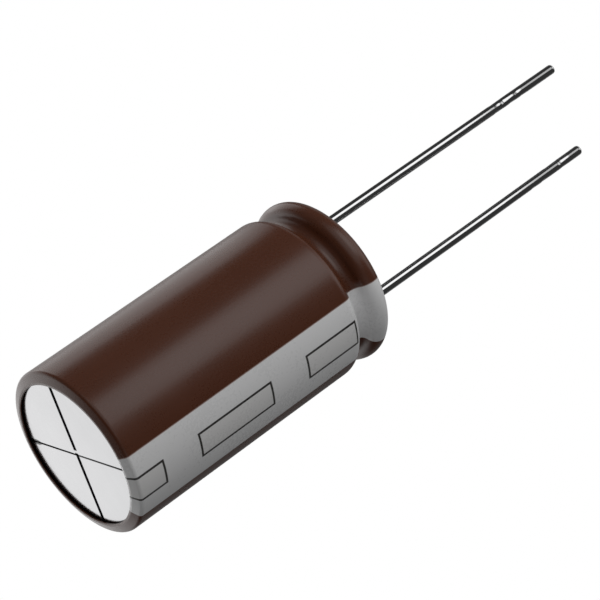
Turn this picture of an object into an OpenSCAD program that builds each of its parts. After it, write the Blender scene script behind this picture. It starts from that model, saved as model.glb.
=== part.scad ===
// Radial aluminium electrolytic capacitor, standing on its closed, vented end.
// Millimetres. +Z runs up the can's axis towards the leads, and the origin is the
// centre of the ring that the part stands on. +X points from the axis to the
// negative lead.

/* [Can] */
// Outer diameter of the aluminium can
can_d = 10; // [9:0.5:13]
// Length of the can, from its closed face to the top of its rolled rim
can_len = 19.2; // [17:0.1:30]
// Thickness of the drawn aluminium
can_wall = 0.3; // [0.2:0.05:0.35]
// Outer radius where the closed face turns into the side
can_corner_r = 0.4; // [0.4:0.05:0.6]

/* [Bead and rim] */
// How far the rolled bead presses into the can
bead_depth = 0.95; // [0.5:0.05:1.1]
// Radius at the bottom of the bead, on the outside
bead_r = 0.65; // [0.5:0.05:0.9]
// Radius of the shoulder below the bead, on the outside
shoulder_r = 0.55; // [0.45:0.05:0.7]
// Radius of the rolled rim, on the outside
rim_r = 0.52; // [0.45:0.01:0.65]

/* [Pressure vent] */
// Width of each score line in the closed face
vent_w = 0.14; // [0.1:0.02:0.2]
// Depth of each score line
vent_depth = 0.1; // [0.05:0.01:0.15]
// Turn of the scored cross about the axis, in degrees
vent_turn = 31; // [0:1:89]

/* [Sleeve] */
// Thickness of the shrunk sleeve on the side of the can
sleeve_wall = 0.14; // [0.1:0.01:0.2]
// How far the sleeve's end reaches in over the closed face
sleeve_curl_w = 0.72; // [0.68:0.02:1.6]
// How far the sleeve's end stands proud of the closed face
sleeve_proud = 0.25; // [0.25:0.01:0.4]
// Radius of the sleeve's corner at the closed end
sleeve_corner_r = 0.25; // [0.22:0.01:0.3]
// Height of that corner above the ring that the part stands on
sleeve_corner_rise = 0.14; // [0.05:0.01:0.15]
// Width of the flat ring that the part stands on
foot_ring_w = 0.06; // [0.02:0.01:0.1]
// How far the sleeve wraps over the rolled rim, in degrees from its outer side
sleeve_wrap = 135; // [110:5:135]

/* [End seal] */
// Thickness of the rubber seal
seal_len = 3.1; // [2.6:0.1:4]
// How far the seal's face lies below the top of the rolled rim
seal_recess = 0.25; // [0.05:0.05:0.3]

/* [Leads] */
// Distance between the two leads
lead_pitch = 5; // [4:0.5:5.5]
// Diameter of each lead wire
lead_d = 0.6; // [0.5:0.1:0.8]
// Free length of the positive lead above the seal's face
positive_lead_len = 22.2; // [5:0.1:40]
// Free length of the negative lead above the seal's face
negative_lead_len = 20.2; // [5:0.1:40]
// Bevel that the shears leave at a lead's tip
lead_tip_bevel = 0.08; // [0.02:0.01:0.15]
// Height of the weld cone that joins a lead to its tab's post
weld_len = 0.6; // [0.3:0.1:1]
// Diameter of the weld cone at the post
weld_d = 1; // [0.9:0.05:1.2]

/* [Tabs] */
// Diameter of the round post that passes through the seal
post_d = 1.3; // [1.2:0.1:1.5]
// Length of post that shows under the seal
post_drop = 0.5; // [0.2:0.1:1]
// Height of the taper from the round post to the flat
tab_taper = 0.7; // [0.4:0.1:1]
// Thickness of the flat
tab_t = 0.3; // [0.2:0.05:0.4]
// Width of the flat
tab_w = 2.2; // [1.6:0.1:2.4]
// Height of the flat's lower end above the roll's lower end
tab_foot = 1.6; // [0.5:0.1:4]

/* [Wound element] */
// Clearance between the roll of foil and paper and the can around it
roll_clearance = 0.2; // [0.15:0.05:0.8]
// Diameter of the hole that the winding mandrel leaves
roll_bore_d = 1.4; // [1:0.1:1.8]
// Free height between the roll and the seal
roll_headroom = 1.9; // [1.6:0.1:3]
// Thickness of the tape that closes the roll
tape_t = 0.06; // [0.04:0.01:0.1]
// Width of the tape
tape_w = 8; // [4:0.5:10]

/* [Hidden] */
$fn = 96;
// Clearance between pieces that fit against each other
fit_gap = 0.01;
// Straight steps in each rounded stretch of a turned outline
arc_steps = 12;
// How far a cut runs past the face that it opens
cut = 1;

can_r = can_d / 2;
face_z = sleeve_proud;
rim_top_z = face_z + can_len;
// The rim, bead and shoulder are three arcs that run into each other
rim_c = [can_r - rim_r, rim_top_z - rim_r];
shoulder_span = shoulder_r + bead_r;
shoulder_turn = acos(1 - bead_depth / shoulder_span);
bead_c_r = can_r - shoulder_r + shoulder_span * cos(shoulder_turn);
rim_span = rim_r + bead_r;
rim_turn = acos((bead_c_r - rim_c[0]) / rim_span);
bead_c = [bead_c_r, rim_c[1] - rim_span * sin(rim_turn)];
shoulder_c = [can_r - shoulder_r, bead_c[1] - shoulder_span * sin(shoulder_turn)];
corner_c = [can_r - can_corner_r, face_z + can_corner_r];

// The sleeve's end: a round edge, a flat foot, a bend and a slope up to the corner
sleeve_r = can_r + fit_gap + sleeve_wall;
window_r = sleeve_r - sleeve_curl_w;
edge_c = [window_r + sleeve_wall / 2, sleeve_wall / 2];
bend_c = [edge_c[0] + foot_ring_w, sleeve_wall];
sleeve_corner_c = [sleeve_r - sleeve_corner_r, sleeve_corner_rise + sleeve_corner_r];
slope_run = sleeve_corner_c - bend_c;
slope_turn = atan2(slope_run[1], slope_run[0])
    - acos((sleeve_wall - sleeve_corner_r) / norm(slope_run));

seal_face_z = rim_top_z - seal_recess;
seal_foot_z = seal_face_z - seal_len;
// The rim's curled end presses on a step in the seal
seal_neck_r = rim_c[0] - rim_r - fit_gap;
seal_step_z = rim_c[1] - fit_gap;

post_r = post_d / 2;
post_top_z = seal_face_z - weld_len;
post_foot_z = seal_foot_z - post_drop;

roll_r = can_r - can_wall - roll_clearance;
roll_foot_z = face_z + can_wall + fit_gap;
roll_top_z = seal_foot_z - roll_headroom;
tab_foot_z = roll_foot_z + tab_foot;
tape_z = (roll_foot_z + roll_top_z) / 2;

// Points along an arc about c, from angle a0 to angle a1
function arc(c, r, a0, a1) = [
    for (i = [0 : arc_steps])
        let (a = a0 + (a1 - a0) * i / arc_steps)
        c + r * [cos(a), sin(a)]
];

// The can's outline from its closed face to its rim, moved outwards by d
function skin(d, rim_end) = concat(
    arc(corner_c, can_corner_r + d, -90, 0),
    upper_skin(d, rim_end)
);

// The upper part of that outline: shoulder, bead and rim
function upper_skin(d, rim_end) = concat(
    arc(shoulder_c, shoulder_r + d, 0, shoulder_turn),
    arc(bead_c, bead_r - d, 180 + shoulder_turn, 180 - rim_turn),
    arc(rim_c, rim_r + d, -rim_turn, rim_end)
);

function reversed(points) = [for (i = [len(points) - 1 : -1 : 0]) points[i]];

// Drawn can with its bead, its rolled rim and the vent scored into its closed face
module can() {
    color("#dcdcde")
    difference() {
        rotate_extrude()
            polygon(concat(
                [[0, face_z]],
                skin(0, 180),
                reversed(skin(-can_wall, 180)),
                [[0, face_z + can_wall]]
            ));
        for (turn = [0, 90])
            rotate([0, 0, vent_turn + turn])
                translate([-corner_c[0], -vent_w / 2, face_z - can_wall])
                    cube([2 * corner_c[0], vent_w, can_wall + vent_depth]);
    }
}

// Heat-shrunk sleeve that grips the can and curls over both of its ends. It bridges
// the can's corner, so a thin gap is left between its edge and the closed face.
module sleeve() {
    color("#44281e")
    rotate_extrude()
        polygon(concat(
            arc(edge_c, sleeve_wall / 2, -270, -90),
            arc(bend_c, sleeve_wall, -90, slope_turn),
            arc(sleeve_corner_c, sleeve_corner_r, slope_turn, 0),
            upper_skin(fit_gap + sleeve_wall, sleeve_wrap),
            reversed(upper_skin(fit_gap, sleeve_wrap)),
            arc(sleeve_corner_c, sleeve_corner_r - sleeve_wall, 0, slope_turn),
            [bend_c]
        ));
}

// Rubber seal, gripped by the bead and the rim, with a stepped hole for each lead
module end_seal() {
    side = can_wall + fit_gap;
    step_turn = asin(fit_gap / (rim_r - side));
    color("#2b2a2b")
    difference() {
        rotate_extrude()
            polygon(concat(
                [[0, seal_foot_z], [can_r - side, seal_foot_z]],
                arc(shoulder_c, shoulder_r - side, 0, shoulder_turn),
                arc(bead_c, bead_r + side, 180 + shoulder_turn, 180 - rim_turn),
                arc(rim_c, rim_r - side, -rim_turn, -step_turn),
                [[seal_neck_r, seal_step_z], [seal_neck_r, seal_face_z], [0, seal_face_z]]
            ));
        for (side_x = [-1, 1])
            translate([side_x * lead_pitch / 2, 0, 0]) {
                translate([0, 0, seal_foot_z - cut])
                    cylinder(r = post_r + fit_gap, h = post_top_z + fit_gap - seal_foot_z + cut);
                translate([0, 0, post_top_z])
                    cylinder(r1 = weld_d / 2 + fit_gap, r2 = lead_d / 2 + fit_gap, h = weld_len);
                translate([0, 0, seal_face_z - fit_gap])
                    cylinder(r = lead_d / 2 + fit_gap, h = cut);
            }
    }
}

// Tinned lead wire, with its weld cone below and its sheared tip above
module lead(side_x, free_len) {
    color("#b9bbbd")
    translate([side_x * lead_pitch / 2, 0, 0]) {
        translate([0, 0, post_top_z + fit_gap])
            cylinder(r1 = weld_d / 2, r2 = lead_d / 2, h = weld_len - fit_gap);
        translate([0, 0, seal_face_z])
            cylinder(r = lead_d / 2, h = free_len - lead_tip_bevel);
        translate([0, 0, seal_face_z + free_len - lead_tip_bevel])
            cylinder(r1 = lead_d / 2, r2 = lead_d / 2 - lead_tip_bevel, h = lead_tip_bevel);
    }
}

module positive_lead() {
    lead(-1, positive_lead_len);
}

module negative_lead() {
    lead(1, negative_lead_len);
}

// Forged tab: a round post through the seal, hammered flat where it enters the roll
module tab(side_x) {
    color("#cfd1d3")
    translate([side_x * lead_pitch / 2, 0, 0]) {
        translate([0, 0, post_foot_z])
            cylinder(r = post_r, h = post_top_z - post_foot_z);
        translate([0, 0, post_foot_z - tab_taper])
            cylinder(r1 = tab_t / 2, r2 = post_r, h = tab_taper);
        translate([-tab_t / 2, 0, 0])
            rotate([90, 0, 90])
                linear_extrude(tab_t)
                    polygon([
                        [-tab_w / 2, tab_foot_z],
                        [tab_w / 2, tab_foot_z],
                        [tab_w / 2, post_foot_z - tab_taper],
                        [post_r / 2, post_foot_z],
                        [-post_r / 2, post_foot_z],
                        [-tab_w / 2, post_foot_z - tab_taper]
                    ]);
    }
}

module positive_tab() {
    tab(-1);
}

module negative_tab() {
    tab(1);
}

// Roll of etched foil and paper, with the mandrel's hole and a slot for each tab
module wound_element() {
    slot = [tab_t + 2 * fit_gap, tab_w + 2 * fit_gap, roll_top_z - tab_foot_z + cut];
    color("#c9b79a")
    difference() {
        translate([0, 0, roll_foot_z])
            cylinder(r = roll_r, h = roll_top_z - roll_foot_z);
        translate([0, 0, roll_foot_z - cut])
            cylinder(d = roll_bore_d, h = roll_top_z - roll_foot_z + 2 * cut);
        for (side_x = [-1, 1])
            translate([side_x * lead_pitch / 2 - slot[0] / 2, -slot[1] / 2, tab_foot_z - fit_gap])
                cube(slot);
    }
}

// Tape that keeps the roll from unwinding
module element_tape() {
    tape_in_r = roll_r + fit_gap;
    color("#d9a441")
    translate([0, 0, tape_z - tape_w / 2])
        difference() {
            cylinder(r = tape_in_r + tape_t, h = tape_w);
            translate([0, 0, -cut])
                cylinder(r = tape_in_r, h = tape_w + 2 * cut);
        }
}

sleeve();
can();
end_seal();
positive_lead();
negative_lead();
positive_tab();
negative_tab();
wound_element();
element_tape();
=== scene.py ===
# %% [markdown]
# # A radial electrolytic capacitor
# The part is a drawn aluminium can in a brown heat-shrunk sleeve. A scored vent
# closes one end, and a rubber seal with two tinned wires closes the other. The
# imported model gives every size and place, so this lesson starts by loading it.

# %% Load the imported model
from math import asin, atan2, cos, degrees, hypot, pi, radians, sin

import bmesh
import bpy
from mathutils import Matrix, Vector, noise


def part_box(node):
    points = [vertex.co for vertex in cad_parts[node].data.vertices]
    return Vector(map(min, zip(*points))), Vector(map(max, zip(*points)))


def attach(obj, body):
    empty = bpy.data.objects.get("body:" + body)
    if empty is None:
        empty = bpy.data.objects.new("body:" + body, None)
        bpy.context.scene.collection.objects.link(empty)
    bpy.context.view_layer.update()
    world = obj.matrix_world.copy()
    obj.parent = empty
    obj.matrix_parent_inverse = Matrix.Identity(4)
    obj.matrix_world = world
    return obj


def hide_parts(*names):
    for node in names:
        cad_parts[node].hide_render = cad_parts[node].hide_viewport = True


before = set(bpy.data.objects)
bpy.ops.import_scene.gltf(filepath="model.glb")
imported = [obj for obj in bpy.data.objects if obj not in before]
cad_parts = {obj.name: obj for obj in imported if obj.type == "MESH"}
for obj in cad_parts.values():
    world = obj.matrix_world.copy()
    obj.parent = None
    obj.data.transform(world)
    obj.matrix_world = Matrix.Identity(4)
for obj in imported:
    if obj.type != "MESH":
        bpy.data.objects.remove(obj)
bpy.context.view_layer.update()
MM = 0.001
print("nodes:", ", ".join(sorted(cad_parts)))

# %% [markdown]
# ## Camera
# The part stands on its closed end, and it is seen from under that end, with the
# leads running away to the upper right. The camera is placed by azimuth, elevation
# and roll about one aim point, because three angles are easier to read and to
# correct than a matrix. A long lens keeps the two leads almost parallel.

# %% Camera
AIM = Vector((0.1986, 0.0061, 17.128)) * MM
CAMERA_AZIMUTH, CAMERA_ELEVATION, CAMERA_ROLL = 1.77, -29.95, 54.68
CAMERA_DISTANCE = 158.17 * MM
FOCAL_LENGTH, SENSOR_WIDTH = 165.65, 36
NEAREST_SEEN, FARTHEST_SEEN = 0.001, 10


def heading(azimuth, elevation):
    """The direction at an azimuth from the front, -Y, and an elevation."""
    turn, rise = radians(azimuth), radians(elevation)
    return Vector((sin(turn) * cos(rise), -cos(turn) * cos(rise), sin(rise)))


lens = bpy.data.cameras.new("camera")
lens.lens, lens.sensor_width = FOCAL_LENGTH, SENSOR_WIDTH
lens.clip_start, lens.clip_end = NEAREST_SEEN, FARTHEST_SEEN
camera = bpy.data.objects.new("camera", lens)
bpy.context.scene.collection.objects.link(camera)
towards_camera = heading(CAMERA_AZIMUTH, CAMERA_ELEVATION)
camera.location = AIM + towards_camera * CAMERA_DISTANCE
camera.rotation_euler = towards_camera.to_track_quat("Z", "Y").to_euler()
camera.rotation_euler.rotate_axis("Z", radians(CAMERA_ROLL))
bpy.context.scene.camera = camera
bpy.context.scene.view_settings.view_transform = "Standard"
print("camera at", [round(c / MM, 1) for c in camera.location], "mm")

# %% [markdown]
# ## Shader maths
# A finish is a small sum of masks and patterns, and it reads best written as one.
# A Wire wraps a node's output, and plain arithmetic on it adds the Math nodes. A
# Bench makes every other node from its type, its settings and its sockets.

# %% A wire


class Wire:
    """A node's output socket, whose arithmetic adds Math nodes."""

    def __init__(self, bench, socket):
        self.bench, self.socket = bench, socket

    def maths(self, operation, *terms):
        settings = {"operation": operation}
        return self.bench.node("ShaderNodeMath", settings, dict(enumerate(terms)))["Value"]

    def __add__(self, other):
        return self.maths("ADD", self, other)

    def __radd__(self, other):
        return self.maths("ADD", other, self)

    def __sub__(self, other):
        return self.maths("SUBTRACT", self, other)

    def __rsub__(self, other):
        return self.maths("SUBTRACT", other, self)

    def __mul__(self, other):
        return self.maths("MULTIPLY", self, other)

    def __rmul__(self, other):
        return self.maths("MULTIPLY", other, self)

    def __truediv__(self, other):
        return self.maths("DIVIDE", self, other)

    def __abs__(self):
        return self.maths("ABSOLUTE", self)

    def power(self, exponent):
        return self.maths("POWER", self, exponent)

    def fraction(self):
        return self.maths("FRACT", self)

    def larger(self, other):
        return self.maths("MAXIMUM", self, other)

    def angle_from(self, other):
        """The angle in degrees of the point (other, self)."""
        return self.maths("ARCTAN2", self, other) * degrees(1)

    def ramp(self, low, high):
        """0 below low and 1 above high, with a smooth rise between them."""
        settings = {"interpolation_type": "SMOOTHSTEP"}
        sockets = {"Value": self, "From Min": low, "From Max": high}
        return self.bench.node("ShaderNodeMapRange", settings, sockets)["Result"]

    def below(self, limit, soft):
        return 1 - self.ramp(limit - soft, limit + soft)

    def band(self, low, high, soft):
        """1 between low and high, fading over soft at each end."""
        return self.ramp(low - soft, low + soft) * self.below(high, soft)


print("a wire adds its Math nodes")

# %% A bench


class Outputs:
    """A made node, whose outputs are read by name or number as wires."""

    def __init__(self, bench, made):
        self.bench, self.made = bench, made

    def __getitem__(self, name):
        return Wire(self.bench, self.made.outputs[name])


class Bench:
    """A node tree to work on, which makes nodes and fills their sockets."""

    def __init__(self, tree):
        self.tree = tree

    def node(self, kind, settings=None, sockets=None):
        made = self.tree.nodes.new(kind)
        for name, value in (settings or {}).items():
            setattr(made, name, value)
        self.plug(made, sockets or {})
        return Outputs(self, made)

    def plug(self, made, sockets):
        for name, value in sockets.items():
            if isinstance(value, Wire):
                self.tree.links.new(value.socket, made.inputs[name])
            else:
                made.inputs[name].default_value = value


print("a bench makes every other node")

# %% [markdown]
# ## Room and lights
# The part hangs in a studio whose soft light comes mostly from one side. To matt
# surfaces the room glows more on that side, with no edge anywhere. To gloss it is
# nearly black, apart from a few round lobes of glow and the soft boxes, since bright
# metal only looks like metal with dark round it. What the camera sees behind the
# part is plain white.

# %% Room glow
GLOSS_ROOM = 0.03
MATT_MEAN, MATT_SLOPE, MATT_SIDE = 0.03, 0.62, (-140, 34)
LOBES = {
    # azimuth, elevation, radius of the core, radius of the edge, radiance
    "far_side": (106, -16, 8, 56, 1.3),
    "low_front": (-108, -8, 10, 42, 0.45),
    "low_right": (-20, -22, 10, 45, 0.3),
    "high_front": (-95, 67, 8, 28, 0.75),
    "overhead": (130, 62, 8, 34, 0.25),
    "right": (60, 30, 10, 40, 0.1),
}


def compass(azimuth, elevation):
    """The direction at an azimuth from +X towards +Y, and an elevation."""
    turn, rise = radians(azimuth), radians(elevation)
    return Vector((cos(turn) * cos(rise), sin(turn) * cos(rise), sin(rise)))


world = bpy.data.worlds.new("studio_room")
world.use_nodes = True
bpy.context.scene.world = world
room = Bench(world.node_tree)
looking = room.node("ShaderNodeTexCoord")["Generated"]
ray = room.node("ShaderNodeLightPath")


def facing(azimuth, elevation):
    """How squarely a direction of the room lies towards a bearing, from -1 to 1."""
    sockets = {0: looking, 1: compass(azimuth, elevation)}
    return room.node("ShaderNodeVectorMath", {"operation": "DOT_PRODUCT"}, sockets)["Value"]


matt = (MATT_MEAN + MATT_SLOPE * facing(*MATT_SIDE)).larger(0)
glow = matt * ray["Is Diffuse Ray"] + GLOSS_ROOM
for azimuth, elevation, inner, outer, radiance in LOBES.values():
    spread = facing(azimuth, elevation).ramp(cos(radians(outer)), cos(radians(inner)))
    glow = glow + radiance * spread
seen = ray["Is Camera Ray"]
backdrop = room.tree.nodes["Background"]
room.plug(backdrop, {"Color": (1, 1, 1, 1), "Strength": seen + glow * (1 - seen)})
print("room with", len(LOBES), "lobes")

# %% Soft boxes
SOFT_BOXES = {
    # azimuth, elevation, height aimed at, distance, width, height, radiance
    "front_box": (-108, 30, 17, 250, 140, 130, 0.45),
    "near_box": (-108, 30, 11.2, 70, 48, 51.5, 0.6),
    "side_box": (152, 30, -4, 60, 40, 38, 0.88),
}


def hang_soft_box(name, azimuth, elevation, aim_z, distance, width, height, radiance):
    """A rectangular area light that faces the part, sized in millimetres."""
    light = bpy.data.lights.new(name, "AREA")
    light.shape = "RECTANGLE"
    light.size, light.size_y = width * MM, height * MM
    light.energy = radiance * pi * width * height * MM * MM
    made = bpy.data.objects.new(name, light)
    bpy.context.scene.collection.objects.link(made)
    towards = compass(azimuth, elevation)
    made.location = (Vector((0, 0, aim_z)) + towards * distance) * MM
    made.rotation_euler = towards.to_track_quat("Z", "Y").to_euler()
    made.visible_camera = False


for name, place in SOFT_BOXES.items():
    hang_soft_box(name, *place)
print("soft boxes:", ", ".join(SOFT_BOXES))

# %% [markdown]
# ## Floor
# A pale table top lies under the closed end. The part is also looked at from below,
# so the table is a one-way sheet: its underside is clear, and it takes shadows
# without shading the part from the light below. A faint glow of its own keeps it pale
# in a room this dark.

# %% Finish and piece helpers


def new_finish(name):
    """A material and the bench to build it on."""
    material = bpy.data.materials.new(name)
    material.use_nodes = True
    return material, Bench(material.node_tree)


def principled(bench):
    """The shader that a new material starts with."""
    return bench.tree.nodes["Principled BSDF"]


def finished_piece(name, shape, material):
    """Turns a bmesh into an object with one material."""
    mesh = bpy.data.meshes.new(name)
    shape.to_mesh(mesh)
    shape.free()
    mesh.materials.append(material)
    made = bpy.data.objects.new(name, mesh)
    bpy.context.scene.collection.objects.link(made)
    return made


def blotches(bench, place, scale, detail=2.0, roughness=0.5):
    """Soft noise from 0 to 1 about a mean of 0.5."""
    sockets = {"Vector": place, "Scale": scale, "Detail": detail, "Roughness": roughness}
    return bench.node("ShaderNodeTexNoise", None, sockets)["Fac"]


def blend(bench, factor, first, second):
    """Mixes two colours, which are a Mix node's sockets 6 and 7 and its output 2."""
    sockets = {0: factor, 6: first, 7: second}
    return bench.node("ShaderNodeMix", {"data_type": "RGBA"}, sockets)[2]


print("helpers for finishes and pieces ready")

# %% Floor
FLOOR_HALF = 3
FLOOR_GLOW = 0.4
TABLE_GREYS = (0.86, 0.86, 0.86, 1), (0.9, 0.9, 0.9, 1)

pale, floor_bench = new_finish("pale_table")
painted = principled(floor_bench)
table_place = floor_bench.node("ShaderNodeTexCoord")["Object"]
grain = blotches(floor_bench, table_place, 40.0)
paper = blend(floor_bench, grain, *TABLE_GREYS)
floor_bench.plug(painted, {
    "Base Color": paper,
    "Emission Color": paper,
    "Emission Strength": FLOOR_GLOW,
    "Roughness": 0.85,
    "Specular IOR Level": 0.2,
})
under = floor_bench.node("ShaderNodeNewGeometry")["Backfacing"]
clear = floor_bench.node("ShaderNodeBsdfTransparent")["BSDF"]
sides = {0: under, 1: Outputs(floor_bench, painted)["BSDF"], 2: clear}
one_way = floor_bench.node("ShaderNodeMixShader", None, sides)["Shader"]
floor_bench.plug(pale.node_tree.nodes["Material Output"], {"Surface": one_way})

table = bmesh.new()
bmesh.ops.create_grid(table, x_segments=1, y_segments=1, size=FLOOR_HALF)
floor = finished_piece("floor", table, pale)
floor.visible_diffuse = floor.visible_glossy = False
floor.visible_transmission = floor.visible_shadow = False
print("floor of", 2 * FLOOR_HALF, "m")

# %% [markdown]
# ## Turned outlines
# The can, the sleeve and the seal are all round, and each is drawn once as half a
# section and spun about the part's axis. A pen walks along that section: a straight
# run extrudes its last point, and an arc spins that point about the arc's centre,
# so that every round stretch is a true arc.

# %% Pen and spin
AROUND = 192
SEAM = 0.001


class Pen:
    """Draws half a section in the XZ plane, in millimetres."""

    def __init__(self, shape, radius, height):
        self.shape = shape
        self.tip = shape.verts.new(Vector((radius, 0, height)) * MM)

    def line_to(self, radius, height):
        grown = bmesh.ops.extrude_vert_indiv(self.shape, verts=[self.tip])
        self.tip = grown["verts"][0]
        self.tip.co = Vector((radius, 0, height)) * MM

    def arc(self, centre, turn, steps=10):
        """Swings about a centre, anticlockwise in (radius, height) when turn is positive."""
        swung = bmesh.ops.spin(
            self.shape,
            geom=[self.tip],
            cent=Vector((centre[0], 0, centre[1])) * MM,
            axis=(0, -1, 0),
            angle=radians(turn),
            steps=steps,
        )
        self.tip = next(p for p in swung["geom_last"] if isinstance(p, bmesh.types.BMVert))


def spin_round(shape):
    """Spins the whole section once about Z, and closes the seam and the pole."""
    bmesh.ops.spin(
        shape,
        geom=shape.verts[:] + shape.edges[:],
        cent=(0, 0, 0),
        axis=(0, 0, 1),
        angle=2 * pi,
        steps=AROUND,
        use_merge=True,
    )
    bmesh.ops.remove_doubles(shape, verts=shape.verts, dist=SEAM * MM)
    bmesh.ops.recalc_face_normals(shape, faces=shape.faces)


def smooth(piece, angle=35):
    """Smooth faces, with edges sharper than the angle kept crisp."""
    for face in piece.data.polygons:
        face.use_smooth = True
    piece.data.set_sharp_from_angle(angle=radians(angle))


print("a full turn has", AROUND, "steps")

# %% [markdown]
# ## Section of the can and sleeve
# Sleeve and can share one upper section: a shoulder, the bead that grips the seal,
# and the rolled rim. The values below are the ones the part is made to. Each
# outline is the same run of arcs with more or less radius, as a film that follows
# a can must be.

# %% Section values
can_low, can_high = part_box("can")
seal_low, seal_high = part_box("end_seal")
SLEEVE_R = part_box("sleeve")[1].x / MM
CAN_R = can_high.x / MM
FACE_Z = can_low.z / MM
SEAL_TOP_Z = seal_high.z / MM

# Each arc's centre, as a radius and a height, then its own radius and its turn. The
# bead's arc runs on from the shoulder's, so its centre is enough.
SHOULDER_C, SHOULDER_R, SHOULDER_TURN = (4.45, 16.607), 0.55, 77.975
BEAD_C = (4.70, 17.781)
RIM_C, RIM_R, RIM_TURN = (4.48, 18.93), 0.52, 79.162
FILM_OVER_CAN = SLEEVE_R - CAN_R


def upper_section(pen, proud, wrap):
    """Shoulder, bead and rim, proud of the can by an amount, ending at wrap degrees."""
    pen.line_to(SHOULDER_C[0] + SHOULDER_R + proud, SHOULDER_C[1])
    pen.arc(SHOULDER_C, SHOULDER_TURN)
    pen.arc(BEAD_C, -(SHOULDER_TURN + RIM_TURN), 20)
    pen.arc(RIM_C, RIM_TURN + wrap, 28)


print("sleeve radius", round(SLEEVE_R, 3), "mm, can radius", round(CAN_R, 3), "mm")

# %% [markdown]
# ## Sleeve
# The sleeve is a printed plastic film, shrunk on with heat. It curls over the
# closed end and leaves a thin dark gap to the can's face, and at the other end it
# follows the bead and wraps the rolled rim. It could be a thick solid, but a single
# skin with a Solidify modifier stays a film of even thickness. Its cut edge isn't
# a perfect circle, so slow noise moves it in and out a little.

# %% Sleeve shape
FILM = 0.09
EDGE_R, FOOT_R = 4.43, 4.56
BEND_C, BEND_R = (FOOT_R, 0.14), 0.14
CORNER_C, CORNER_R = (4.9, 0.39), 0.25
SLEEVE_WRAP = 135

run = Vector(CORNER_C) - Vector(BEND_C)
slope_turn = degrees(atan2(run.y, run.x) - pi / 2 - asin((CORNER_R - BEND_R) / run.length))

film = bmesh.new()
pen = Pen(film, EDGE_R, 0)
pen.line_to(FOOT_R, 0)
pen.arc(BEND_C, 90 + slope_turn, 4)
slope_normal = Vector((cos(radians(slope_turn)), sin(radians(slope_turn))))
pen.line_to(*(Vector(CORNER_C) + CORNER_R * slope_normal))
pen.arc(CORNER_C, -slope_turn, 10)
upper_section(pen, FILM_OVER_CAN, SLEEVE_WRAP)
spin_round(film)
print("film section slopes at", round(slope_turn, 1), "degrees")

# %% Ragged edge
EDGE_WANDER, WANDER_PACE, WANDER_SLICE = 0.02, 1.7, 3.0
EDGE_REACH = 0.01

for point in film.verts:
    radius = hypot(point.co.x, point.co.y)
    if radius < (EDGE_R + EDGE_REACH) * MM and point.co.z < FACE_Z * MM:
        around = point.co.xy.normalized()
        wander = noise.noise(Vector((*around, WANDER_SLICE)) * WANDER_PACE)
        point.co.xy += around * EDGE_WANDER * MM * wander
print("cut edge wanders up to", EDGE_WANDER, "mm")

# %% Sleeve film
CUT_ROUND = 0.025

SLEEVE_FINISH, sleeve_bench = new_finish("printed_shrink_film")
sleeve = finished_piece("sleeve_film", film, SLEEVE_FINISH)
smooth(sleeve)
wall = sleeve.modifiers.new("film", "SOLIDIFY")
wall.thickness, wall.offset = FILM * MM, -1
edges = sleeve.modifiers.new("cut_edges", "BEVEL")
edges.width, edges.segments = CUT_ROUND * MM, 2
edges.limit_method, edges.angle_limit = "ANGLE", radians(50)
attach(sleeve, "root")
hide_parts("sleeve")
print("sleeve film", FILM, "mm thick,", len(sleeve.data.polygons), "faces")

# %% [markdown]
# ## Print on the sleeve
# The film is brown, with a pale stripe down the negative side. Three plain boxes
# stand in the stripe, one of them running over the corner to the cut edge. Each
# is worked out from the azimuth about the axis and the height, so the print bends
# round the corner and into the bead as ink on the real film does. Along the
# stripe's front edge the inks overlap in a faint warm fringe.

# %% Places and bumps


def stretched(bench, place, x, y, z):
    """The same place, squeezed or drawn out along each axis."""
    sockets = {"Vector": place, "Scale": (x, y, z)}
    return bench.node("ShaderNodeMapping", None, sockets)["Vector"]


def millimetres(bench):
    """The piece's own coordinates, in millimetres."""
    own = bench.node("ShaderNodeTexCoord")["Object"]
    return stretched(bench, own, 1 / MM, 1 / MM, 1 / MM)


def axes(bench, place):
    """The three coordinates of a place, as wires."""
    split = bench.node("ShaderNodeSeparateXYZ", None, {0: place})
    return split["X"], split["Y"], split["Z"]


def bump(bench, height, distance):
    """A normal raised by height, where a height of 1 is a distance in millimetres."""
    sockets = {"Height": height, "Distance": distance * MM, "Strength": 1.0}
    return bench.node("ShaderNodeBump", None, sockets)["Normal"]


print("finishes are laid out in millimetres")

# %% Stripe and boxes
STRIPE, STRIPE_SOFT = (-68.5, -20.5), 0.12
BOX_AZIMUTH = (-53.3, -36.5)
BOX_HEIGHTS = ((-1.0, 2.10), (4.75, 10.17), (12.95, 16.78))
INK, INK_SOFT = 0.07, 0.012

bench = sleeve_bench
place = millimetres(bench)
x, y, z = axes(bench, place)
azimuth = y.angle_from(x)
stripe = azimuth.band(*STRIPE, STRIPE_SOFT)
fringe = azimuth.band(STRIPE[0] - 0.5, STRIPE[0] + 0.4, 0.25)

box_line, box_fill = 0, 0
across = abs(azimuth - sum(BOX_AZIMUTH) / 2) - (BOX_AZIMUTH[1] - BOX_AZIMUTH[0]) / 2
for low, high in BOX_HEIGHTS:
    up = abs(z - (low + high) / 2) - (high - low) / 2
    outside = (across * radians(SLEEVE_R)).larger(up)
    box_line = abs(outside).below(INK, INK_SOFT) + box_line
    box_fill = outside.below(-INK, INK_SOFT) + box_fill
print("print: stripe", STRIPE, "degrees and", len(BOX_HEIGHTS), "boxes")

# %% Sleeve finish
BROWNS = (0.084, 0.0250, 0.0105, 1), (0.107, 0.0325, 0.0145, 1)
GREYS = (0.72, 0.72, 0.725, 1), (0.84, 0.84, 0.84, 1)
BOX_GREY = (0.74, 0.73, 0.72, 1)
INK_BLACK = (0.014, 0.010, 0.008, 1)
FRINGE_TAN = (0.62, 0.50, 0.46, 1)

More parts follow.
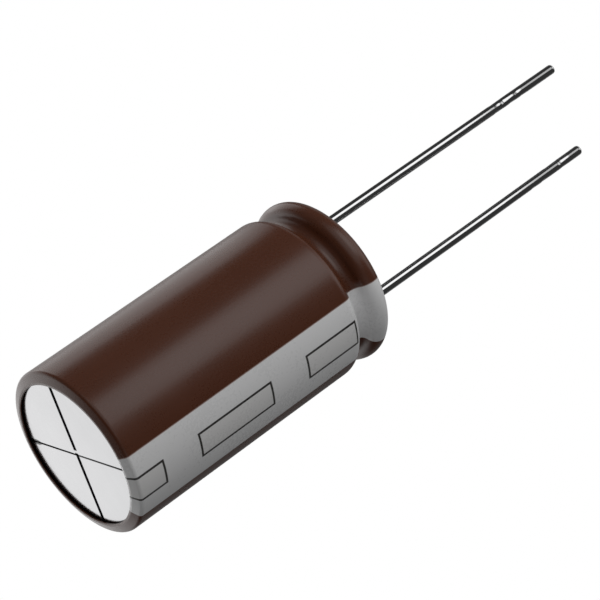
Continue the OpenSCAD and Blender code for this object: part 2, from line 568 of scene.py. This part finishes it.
cloud = blotches(bench, place, 0.35, 3.0)
speck = blotches(bench, place, 6.0, 3.0, 0.6)
drag = blotches(bench, stretched(bench, place, 3, 3, 0.15), 1.0, 3.0)
brown = blend(bench, cloud * 0.6 + drag * 0.4, *BROWNS)
grey = blend(bench, cloud * 0.7 + speck * 0.3, *GREYS)
grey = blend(bench, box_fill * 0.6, grey, BOX_GREY)
grey = blend(bench, box_line * 0.96, grey, INK_BLACK)
colour = blend(bench, stripe, brown, grey)
colour = blend(bench, fringe * 0.35, colour, FRINGE_TAN)
bench.plug(principled(bench), {
    "Base Color": colour,
    "Roughness": 0.22 + 0.06 * speck + 0.06 * cloud,
    "IOR": 1.58,
    "Normal": bump(bench, 0.4 * speck + drag, 0.003),
})
print("sleeve finished")

# %% [markdown]
# ## Can
# The can is deep-drawn from soft aluminium, and a cross is scored into its closed
# face, to split before the can does. The wall is spun as a skin. The face is closed
# as one flat polygon and cut by a few parallel planes, and the middle line of each
# group is pushed in to make a vee-shaped score. One stroke skips a little just
# before the crossing, which leaves a narrow bridge of unmarked metal. A filled can
# is under slight pressure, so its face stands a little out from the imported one.

# %% Can shape
CAN_WALL, CAN_CORNER_R = 0.3, 0.4
BULGE = 0.08
BULGED_Z = FACE_Z - BULGE
VENT_CENTRE, VENT_DEPTH = (0.08, 0.06), 0.1
SCORES = ((31.2, 0.28), (121.4, 0.12))  # the turn and the width of each
BRIDGE = (-0.36, -0.30, -0.12)  # planes along the first score, of which the last two end it
CAN_CORNER_C = (CAN_R - CAN_CORNER_R, BULGED_Z + CAN_CORNER_R)
HAIR = 0.001

skin = bmesh.new()
pen = Pen(skin, CAN_CORNER_C[0], BULGED_Z)
pen.arc(CAN_CORNER_C, 90, 8)
upper_section(pen, 0, 180)
spin_round(skin)
face_top = (BULGED_Z + HAIR) * MM
face_rim = [e for e in skin.edges if e.is_boundary and e.verts[0].co.z < face_top]
bmesh.ops.contextual_create(skin, geom=face_rim)
bmesh.ops.recalc_face_normals(skin, faces=skin.faces)
print("can skin:", len(skin.faces), "faces")

# %% Vent planes
struck = Vector((*VENT_CENTRE, 0)) * MM
lengthways = compass(SCORES[0][0], 0)
sideways = [compass(score_turn + 90, 0) for score_turn, width in SCORES]
cuts = []
for across, (score_turn, width) in zip(sideways, SCORES):
    cuts += [(across, step * width) for step in (-0.5, 0, 0.5)]
cuts += [(lengthways, reach) for reach in BRIDGE]
for normal, reach in cuts:
    bmesh.ops.bisect_plane(
        skin,
        geom=skin.verts[:] + skin.edges[:] + skin.faces[:],
        plane_co=struck + normal * reach * MM,
        plane_no=normal,
        dist=1e-8,
    )
print("face cut by", len(cuts), "planes")

# %% Vent score
ON_LINE, BRIDGE_END = 0.0001, 0.01


def on_bridge(off_second, along):
    """Whether a point of the first score lies on the unmarked bridge."""
    return off_second > ON_LINE and BRIDGE[1] - BRIDGE_END < along < BRIDGE[2] + BRIDGE_END


pushed = 0
for point in skin.verts:
    off_lines = [abs((point.co - struck).dot(across)) / MM for across in sideways]
    along = (point.co - struck).dot(lengthways) / MM
    scored = min(off_lines) < ON_LINE and point.co.z < face_top
    if scored and not on_bridge(off_lines[1], along):
        point.co.z += VENT_DEPTH * MM
        pushed += 1
print("vent score: pushed in", pushed, "points")

# %% Can piece
CAN_FINISH, can_bench = new_finish("drawn_aluminium")
can = finished_piece("can_shell", skin, CAN_FINISH)
smooth(can, 25)
wall = can.modifiers.new("wall", "SOLIDIFY")
wall.thickness, wall.offset = (CAN_WALL - VENT_DEPTH) * MM, -1
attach(can, "root")
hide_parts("can")
print("can wall", round(wall.thickness / MM, 2), "mm")

# %% [markdown]
# ## Drawn aluminium
# The face is satin from the press, nearly white under soft light, with faint
# clouds and the fine marks of rolling. The scores are painted black, as painted
# shade that fills them, and one end of the narrow score spreads as it meets the
# edge. The painted shade follows the same lines as the cuts, so that it stays in the
# grooves.

# %% Score mask
SCORE_SOFT = 0.012
SPLAY_START, SPLAY_END, SPLAY_WIDTH = 3.3, 3.75, 0.11
FACE_REACH, FACE_SOFT = 0.02, 0.01
BRIDGE_SOFT = 0.03

bench = can_bench
place = millimetres(bench)
x, y, z = axes(bench, place)
on_face = z.below(BULGED_Z + VENT_DEPTH + FACE_REACH, FACE_SOFT)


def reach_along(direction):
    """How far a point of the face lies from the vent's centre, in one direction."""
    return (x - VENT_CENTRE[0]) * direction.x + (y - VENT_CENTRE[1]) * direction.y


# The score mask below marks where the painted shade of the scores goes.
along = reach_along(lengthways)
across = reach_along(sideways[0])
first = abs(across).below(SCORES[0][1] / 2, SCORE_SOFT)
first = first * (1 - along.band(BRIDGE[1], BRIDGE[2], BRIDGE_SOFT))
splayed = across.ramp(SPLAY_START, SPLAY_END) * SPLAY_WIDTH + SCORES[1][1] / 2
second = 1 - (abs(along) - splayed).ramp(-SCORE_SOFT, SCORE_SOFT)
score = first.larger(second) * on_face
print("scores coloured to", SCORE_SOFT, "mm")

# %% Can finish
SILVERS = (0.47, 0.47, 0.477, 1), (0.56, 0.56, 0.566, 1)
# The black in the scores is painted shade, where the vees alone would stay bright.
SCORE_SHADE_BLACK = (0.006, 0.006, 0.006, 1)

cloud = blotches(bench, place, 0.5, 3.0)
rolled = blotches(bench, stretched(bench, place, 0.4, 9, 9), 1.0, 3.0)
drawn = blotches(bench, stretched(bench, place, 7, 7, 0.2), 1.0, 3.0)
marks = rolled * on_face + drawn * (1 - on_face)
silver = blend(bench, cloud * 0.5 + marks * 0.5, *SILVERS)
bench.plug(principled(bench), {
    "Base Color": blend(bench, score, silver, SCORE_SHADE_BLACK),
    "Metallic": 1 - score,
    "Roughness": 0.12 + 0.05 * cloud + 0.05 * marks,
    "Normal": bump(bench, marks * 0.5 + cloud, 0.0015),
})
print("aluminium finished")

# %% [markdown]
# ## Rubber seal
# The seal is a moulded rubber bung, squeezed by the bead and held by the rim. Its
# open face is matt black, with a shallow moulded dish round each wire. It is spun
# from one section like the can, and the holes are cut afterwards with a Boolean,
# because they lie off the axis that everything else turns about.

# %% Seal shape
SEAL_FOOT_Z = seal_low.z / MM
SEAL_GAP = 0.02
SEAL_SIDE = CAN_WALL + SEAL_GAP
SUNK_R, SUNK, SUNK_SLOPE = 3.2, 0.04, 0.05

plug = bmesh.new()
pen = Pen(plug, 0, SEAL_FOOT_Z)
pen.line_to(CAN_R - SEAL_SIDE, SEAL_FOOT_Z)
pen.line_to(SHOULDER_C[0] + SHOULDER_R - SEAL_SIDE, SHOULDER_C[1])
pen.arc(SHOULDER_C, SHOULDER_TURN)
pen.arc(BEAD_C, -(SHOULDER_TURN + RIM_TURN), 16)
pen.arc(RIM_C, RIM_TURN, 8)
pen.line_to(RIM_C[0] - RIM_R - SEAL_GAP, RIM_C[1])
pen.line_to(RIM_C[0] - RIM_R - SEAL_GAP, SEAL_TOP_Z)
pen.line_to(SUNK_R, SEAL_TOP_Z)
pen.line_to(SUNK_R - SUNK_SLOPE, SEAL_TOP_Z - SUNK)
pen.line_to(0, SEAL_TOP_Z - SUNK)
spin_round(plug)
SEAL_FINISH, seal_bench = new_finish("moulded_rubber")
seal = finished_piece("seal_plug", plug, SEAL_FINISH)
smooth(seal)
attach(seal, "root")
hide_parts("end_seal")
print("seal", round(SEAL_TOP_Z - SEAL_FOOT_Z, 2), "mm deep")

# %% Holes for the wires
# Each hole has the outline of the post, the weld and the wire that fill it.
POST_R, WELD_R, LEAD_R, PLAY = 0.65, 0.5, 0.3, 0.01
DISH_R, DISH_DEPTH, DISH_LIP = 0.52, 0.1, 0.01
OVERRUN = 1
lead_low, lead_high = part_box("negative_lead")
LEAD_X = (lead_low.x + lead_high.x) / 2 / MM
LEAD_FOOT_Z = lead_low.z / MM


def drill(piece, side):
    """Cuts a stepped hole for one wire through the seal."""
    hole = bmesh.new()
    pen = Pen(hole, 0, SEAL_FOOT_Z - OVERRUN)
    pen.line_to(POST_R + PLAY, SEAL_FOOT_Z - OVERRUN)
    pen.line_to(POST_R + PLAY, LEAD_FOOT_Z)
    pen.line_to(WELD_R + PLAY, LEAD_FOOT_Z)
    pen.line_to(LEAD_R + PLAY, SEAL_TOP_Z - SUNK - DISH_DEPTH)
    pen.line_to(DISH_R, SEAL_TOP_Z - SUNK + DISH_LIP)
    pen.line_to(DISH_R, SEAL_TOP_Z + OVERRUN)
    pen.line_to(0, SEAL_TOP_Z + OVERRUN)
    spin_round(hole)
    bmesh.ops.translate(hole, verts=hole.verts, vec=(side * LEAD_X * MM, 0, 0))
    cutter = finished_piece("drill", hole, SEAL_FINISH)
    cut = piece.modifiers.new("hole", "BOOLEAN")
    cut.operation, cut.object, cut.solver = "DIFFERENCE", cutter, "EXACT"
    drilled = piece.evaluated_get(bpy.context.evaluated_depsgraph_get())
    mesh = bpy.data.meshes.new_from_object(drilled)
    piece.modifiers.remove(cut)
    piece.data = mesh
    bpy.data.objects.remove(cutter)


for side in (-1, 1):
    drill(seal, side)
print("seal has", len(seal.data.polygons), "faces with its holes")

# %% Seal finish
RUBBER_BLACKS = (0.022, 0.022, 0.023, 1), (0.046, 0.045, 0.044, 1)
DUST_GREY = (0.2, 0.19, 0.18, 1)

bench = seal_bench
place = millimetres(bench)
pebble = blotches(bench, place, 9.0, 4.0, 0.65)
bloom = blotches(bench, place, 0.9, 3.0)
dust = blotches(bench, place, 22.0, 2.0).ramp(0.66, 0.8)
black = blend(bench, bloom, *RUBBER_BLACKS)
bench.plug(principled(bench), {
    "Base Color": blend(bench, dust * 0.35, black, DUST_GREY),
    "Roughness": 0.62 + 0.14 * pebble,
    "Normal": bump(bench, pebble, 0.02),
})
print("rubber finished")

# %% [markdown]
# ## Wires
# Each wire is copper-clad steel, bright with tin. A taping machine holds it a few
# millimetres from its end and shears it, so the tip is pressed slightly round and
# askew, and the grips' teeth leave shallow bites: a short step down, then a long
# slope back. A ring of vertices is extruded along the wire, and only the points near
# a bite are pushed in. A bite too shallow to see in outline still breaks up the long
# highlight, as it does on the real wire. Each wire also leans by a few hundredths of
# a millimetre, since no lead is perfectly straight.

# %% Wire values
TIP_ROUND, TIP_TURNS = 0.16, (30, 60, 85)
TIP_SLANT = 0.11
LEAD_STEPS = 40
WELD_CLEAR = 0.4
FINE_RUN, FINE_RINGS, FINE_START = 9.4, 92, 9.5
BITES = {
    # distance of the step from the tip, length of the slope, direction, depth
    "positive_lead": (
        (5.35, 0.45, -99, 0.016),
        (4.78, 0.98, -99, 0.044),
        (3.62, 0.5, -99, 0.028),
        (3.2, 0.6, -8, 0.016),
        (4.2, 0.7, -8, 0.024),
        (5.5, 0.9, -8, 0.016),
        (5.6, 1.2, 172, 0.016),
    ),
    "negative_lead": (
        (2.05, 0.9, -99, 0.045),
        (1.9, 0.7, -8, 0.018),
        (3.7, 0.8, -8, 0.022),
        (4.6, 0.7, -8, 0.018),
        (3.0, 1.0, 172, 0.016),
    ),
}
BITE_STEP = 0.12
LEANS, LEAN_RUN = {"positive_lead": 0.03, "negative_lead": 0.05}, 8
print("bites:", {name: len(rows) for name, rows in BITES.items()})

# %% Drawn wire


def drawn_wire(low, high):
    """Weld cone, straight wire and rounded tip, standing on the axis."""
    shape = bmesh.new()
    bmesh.ops.create_circle(shape, cap_ends=True, radius=WELD_R * MM, segments=LEAD_STEPS)
    bmesh.ops.translate(shape, verts=shape.verts, vec=(0, 0, low * MM))
    rim = shape.edges[:]

    def next_ring(height, radius):
        """Extrudes the open end to a height and a radius, in millimetres."""
        nonlocal rim
        grown = bmesh.ops.extrude_edge_only(shape, edges=rim)["geom"]
        points = [g for g in grown if isinstance(g, bmesh.types.BMVert)]
        lines = [g for g in grown if isinstance(g, bmesh.types.BMEdge)]
        rim = [line for line in lines if all(v in points for v in line.verts)]
        for point in points:
            around = point.co.xy.normalized() * radius * MM
            point.co = (*around, height * MM)

    next_ring(SEAL_TOP_Z, LEAD_R)
    next_ring(SEAL_TOP_Z + WELD_CLEAR, LEAD_R)
    next_ring(high - FINE_START, LEAD_R)
    for step in range(FINE_RINGS + 1):
        next_ring(high - FINE_RUN + (FINE_RUN - TIP_ROUND) * step / FINE_RINGS, LEAD_R)
    for turn in TIP_TURNS:
        sunk = TIP_ROUND * (1 - sin(radians(turn)))
        next_ring(high - sunk, LEAD_R - TIP_ROUND * (1 - cos(radians(turn))))
    bmesh.ops.contextual_create(shape, geom=rim)
    return shape


print("a wire's last", FINE_RUN, "mm have", FINE_RINGS, "rings")

# %% Pressed and sheared wire


def press(shape, name, high):
    """Gives a wire its bites, its slanted tip and its lean."""
    for point in shape.verts:
        from_tip = high - point.co.z / MM
        for distance, length, direction, depth in BITES[name]:
            past = distance - from_tip
            dip = depth * max(0, min(1 + past / BITE_STEP, 1 - past / length))
            outward = compass(direction, 0)
            towards = max(0, point.co.xy.normalized().dot(outward.xy))
            point.co -= outward * dip * MM * towards ** 3
        if from_tip < 1:
            point.co.z -= TIP_SLANT * (1 - from_tip) * (LEAD_R * MM - point.co.y)
        risen = max(0, min(1, (high - from_tip - SEAL_TOP_Z) / LEAN_RUN))
        point.co.x += LEANS[name] * MM * risen ** 2 * (3 - 2 * risen)


def wire(name, side):
    """One finished lead, at its place on one side of the axis."""
    low, high = (corner.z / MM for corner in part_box(name))
    shape = drawn_wire(low, high)
    press(shape, name, high)
    bmesh.ops.translate(shape, verts=shape.verts, vec=(side * LEAD_X * MM, 0, 0))
    bmesh.ops.recalc_face_normals(shape, faces=shape.faces)
    made = finished_piece(name + "_wire", shape, LEAD_FINISH)
    smooth(made, 50)
    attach(made, "root")
    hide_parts(name)
    return made


LEAD_FINISH, lead_bench = new_finish("bright_tin")
for name, side in (("positive_lead", -1), ("negative_lead", 1)):
    made = wire(name, side)
    print(made.name, "with", len(made.data.polygons), "faces")

# %% Wire finish
TINS = (0.83, 0.833, 0.84, 1), (0.94, 0.942, 0.945, 1)
PIT_GREY = (0.25, 0.25, 0.26, 1)

bench = lead_bench
place = millimetres(bench)
drawn = blotches(bench, stretched(bench, place, 12, 12, 0.4), 1.0, 3.0)
ripple = blotches(bench, place, 3.0, 3.0)
pit = blotches(bench, place, 24.0, 2.0).ramp(0.68, 0.78)
tin = blend(bench, ripple * 0.5 + drawn * 0.5, *TINS)
bench.plug(principled(bench), {
    "Base Color": blend(bench, pit * 0.4, tin, PIT_GREY),
    "Metallic": 1.0,
    "Roughness": 0.06 + 0.04 * ripple + 0.03 * drawn,
    "Normal": bump(bench, drawn + ripple, 0.001),
})
print("tin finished")

# %% [markdown]
# ## Inside the can
# Two foils and their paper are wound round into a roll and tied with tape, and a
# forged tab joins each foil to its wire. None of this shows in a closed part, but
# each solid has its finish, for whoever opens or cuts the model. The roll's turns
# come from one spiral formula, and its side has the weave of capacitor paper.

# %% Roll finish
TURN_PITCH = 0.22
PAPERS = (0.50, 0.40, 0.25, 1), (0.74, 0.64, 0.46, 1)
FOIL_GREY = (0.52, 0.52, 0.53, 1)


def dress(node, material):
    """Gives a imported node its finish."""
    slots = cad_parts[node].data.materials
    slots.clear()
    slots.append(material)


ROLL_FINISH, bench = new_finish("wound_foil_and_paper")
place = millimetres(bench)
x, y = axes(bench, place)[:2]
azimuth = y.angle_from(x) / 360
radius = (x * x + y * y).power(0.5)
winding = (radius / TURN_PITCH - azimuth).fraction()
foil = winding.band(0.12, 0.36, 0.04)
fibre = blotches(bench, stretched(bench, place, 4, 4, 9), 1.0, 4.0, 0.6)
soak = blotches(bench, place, 0.6, 3.0)
paper = blend(bench, fibre * 0.5 + soak * 0.5, *PAPERS)
bench.plug(principled(bench), {
    "Base Color": blend(bench, foil, paper, FOIL_GREY),
    "Metallic": foil * 0.8,
    "Roughness": 0.6 + 0.2 * fibre - 0.2 * foil,
    "Normal": bump(bench, fibre + winding, 0.02),
})
dress("wound_element", ROLL_FINISH)
print("roll wound at", TURN_PITCH, "mm a turn")

# %% Tape finish
AMBERS = (0.62, 0.40, 0.10, 1), (0.86, 0.66, 0.28, 1)

TAPE_FINISH, bench = new_finish("binding_tape")
place = millimetres(bench)
haze = blotches(bench, place, 1.2, 3.0)
thread = blotches(bench, stretched(bench, place, 2, 2, 14), 1.0, 3.0)
bench.plug(principled(bench), {
    "Base Color": blend(bench, haze * 0.6 + thread * 0.4, *AMBERS),
    "Roughness": 0.32 + 0.2 * haze,
    "Normal": bump(bench, thread, 0.01),
})
dress("element_tape", TAPE_FINISH)
print("tape finished")

# %% Tab finish
TAB_SILVERS = (0.66, 0.67, 0.69, 1), (0.86, 0.87, 0.88, 1)

TAB_FINISH, bench = new_finish("forged_aluminium")
place = millimetres(bench)
hammer = blotches(bench, place, 2.4, 2.0)
etch = blotches(bench, place, 14.0, 3.0)
bench.plug(principled(bench), {
    "Base Color": blend(bench, hammer * 0.5 + etch * 0.5, *TAB_SILVERS),
    "Metallic": 1.0,
    "Roughness": 0.34 + 0.2 * etch,
    "Normal": bump(bench, hammer + 0.3 * etch, 0.02),
})
for node in ("positive_tab", "negative_tab"):
    dress(node, TAB_FINISH)
print("tabs finished")

# %% End
print("all pieces built")
